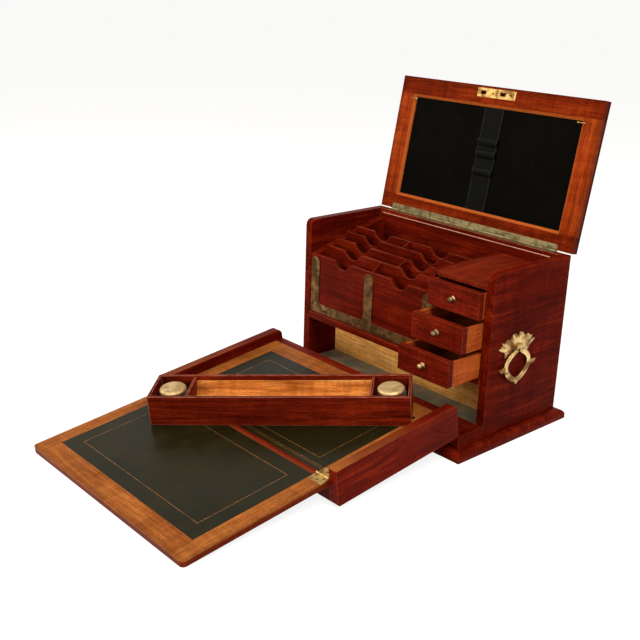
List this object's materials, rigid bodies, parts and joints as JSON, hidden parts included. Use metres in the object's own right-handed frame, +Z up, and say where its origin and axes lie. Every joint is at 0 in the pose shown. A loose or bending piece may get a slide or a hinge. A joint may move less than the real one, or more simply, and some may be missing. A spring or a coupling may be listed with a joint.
{
  "type": "writing cabinet",
  "caption": "Mahogany stationery box standing open: lid up, fall-front writing slope with hinged flap unfolded, letter rack, brass-knobbed drawers, lift-out pen tray with inkwells.",
  "frame": {"origin": "on the table, under the middle of the cabinet, on the bottom board's underside", "axes": "+Z up, +X to the viewer's right when facing the open front, +Y to the back; the fall front and flap lie along -Y"},
  "size_m": [0.395, 0.684, 0.4486],
  "materials": {
    "mahogany": "French polished",
    "baize": "worn green baize",
    "pine": "waxed",
    "drawer_wood": "waxed",
    "leather": "black, polished, with gilt lines",
    "loop_leather": "soft",
    "brass": "polished",
    "pale_wood": "polished",
    "glass": "clear"
  },
  "bodies": {
    "cabinet": {"plinth_mouldings": "mahogany", "bottom_board": "mahogany", "bay_floor": "baize", "base_front_rail": "mahogany", "ledge_board": "mahogany", "left_side_panel": "mahogany", "right_side_panel": "mahogany", "back_board": "mahogany", "bay_back_panel": "pine", "rack_shelf": "mahogany", "rack_left_cheek": "mahogany", "rack_front_panel": "mahogany", "rack_divider_1": "mahogany", "rack_divider_2": "mahogany", "rack_divider_3": "mahogany", "rack_divider_4": "mahogany", "rack_letter_partitions": "mahogany", "rack_stack_partition": "mahogany", "brass_card_frame": "brass", "stack_lining_and_dust_boards": "mahogany", "stack_top_board": "mahogany", "lid_hinge_back_leaf": "brass", "fall_hinge_base_leaves": "brass", "handle_backplates": "brass"},
    "drawer_1": {"drawer_1_front": "mahogany", "drawer_1_box": "drawer_wood", "drawer_1_knob": "brass"},
    "drawer_2": {"drawer_2_front": "mahogany", "drawer_2_box": "drawer_wood", "drawer_2_knob": "brass"},
    "drawer_3": {"drawer_3_front": "mahogany", "drawer_3_box": "drawer_wood", "drawer_3_knob": "brass"},
    "lid": {"lid_frame": "mahogany", "lid_panel": "mahogany", "lid_leather": "leather", "lid_pen_loops": "loop_leather", "lid_strike_plate": "brass", "lid_hinge_lid_leaf": "brass"},
    "fall": {"fall_outer_board": "mahogany", "fall_walls": "mahogany", "fall_rails": "mahogany", "fall_writing_board": "mahogany", "fall_leather": "leather", "fall_catch_plate": "brass", "fall_lock": "brass", "fall_hinge_fall_leaves": "brass", "flap_hinge_fall_leaves": "brass"},
    "bolt": {"lock_bolt": "brass"},
    "flap": {"flap_board": "mahogany", "flap_leather": "leather", "flap_hinge_flap_leaves": "brass"},
    "pen_tray": {"pen_tray_box": "mahogany", "pen_tray_trough": "pale_wood", "pen_tray_partitions": "mahogany", "inkwell_bottles": "glass"},
    "cap_left": {"inkwell_cap_left": "brass"},
    "cap_right": {"inkwell_cap_right": "brass"},
    "bail_left": {"handle_bail_left": "brass"},
    "bail_right": {"handle_bail_right": "brass"}
  },
  "joints": [
    {"name": "lid_hinge", "type": "hinge", "parent": "cabinet", "child": "lid", "pos_m": [0, 0.1052, 0.24315], "axis": [-1, 0, 0], "range_deg": [-100.8, 0]},
    {"name": "drawer_1_slide", "type": "slide", "parent": "cabinet", "child": "drawer_1", "axis": [0, -1, 0], "range_m": [-0.0655, 0.002]},
    {"name": "drawer_2_slide", "type": "slide", "parent": "cabinet", "child": "drawer_2", "axis": [0, -1, 0], "range_m": [-0.0425, 0.07]},
    {"name": "drawer_3_slide", "type": "slide", "parent": "cabinet", "child": "drawer_3", "axis": [0, -1, 0], "range_m": [-0.0145, 0.098]},
    {"name": "fall_hinge", "type": "hinge", "parent": "cabinet", "child": "fall", "pos_m": [0, -0.1053, 0.0302], "axis": [-1, 0, 0], "range_deg": [0, 2]},
    {"name": "bolt_slide", "type": "slide", "parent": "fall", "child": "bolt", "axis": [0, -0.9916, -0.1297], "range_m": [0, 0.005]},
    {"name": "flap_hinge", "type": "hinge", "parent": "fall", "child": "flap", "pos_m": [0, -0.32076, 0.03729], "axis": [-1, 0, 0], "range_deg": [0, 180]},
    {"name": "pen_tray_lift", "type": "slide", "parent": "fall", "child": "pen_tray", "axis": [0, -0.1297, 0.9916], "range_m": [0, 0.55]},
    {"name": "cap_left_hinge", "type": "hinge", "parent": "pen_tray", "child": "cap_left", "pos_m": [-0.11192, -0.34387, 0.06977], "axis": [-0.7501, -0.6557, -0.0857], "range_deg": [0, 80]},
    {"name": "cap_right_hinge", "type": "hinge", "parent": "pen_tray", "child": "cap_right", "pos_m": [0.10621, -0.15319, 0.0947], "axis": [-0.7501, -0.6557, -0.0857], "range_deg": [0, 80]},
    {"name": "bail_left_hinge", "type": "hinge", "parent": "cabinet", "child": "bail_left", "pos_m": [-0.1899, 0, 0.135], "axis": [0, 1, 0], "range_deg": [0, 110]},
    {"name": "bail_right_hinge", "type": "hinge", "parent": "cabinet", "child": "bail_right", "pos_m": [0.1899, 0, 0.135], "axis": [0, -1, 0], "range_deg": [0, 110]}
  ],
  "couplings": [
    {"joint": "pen_tray_lift", "follows": "flap_hinge", "m_per_rad": 0.17}
  ]
}
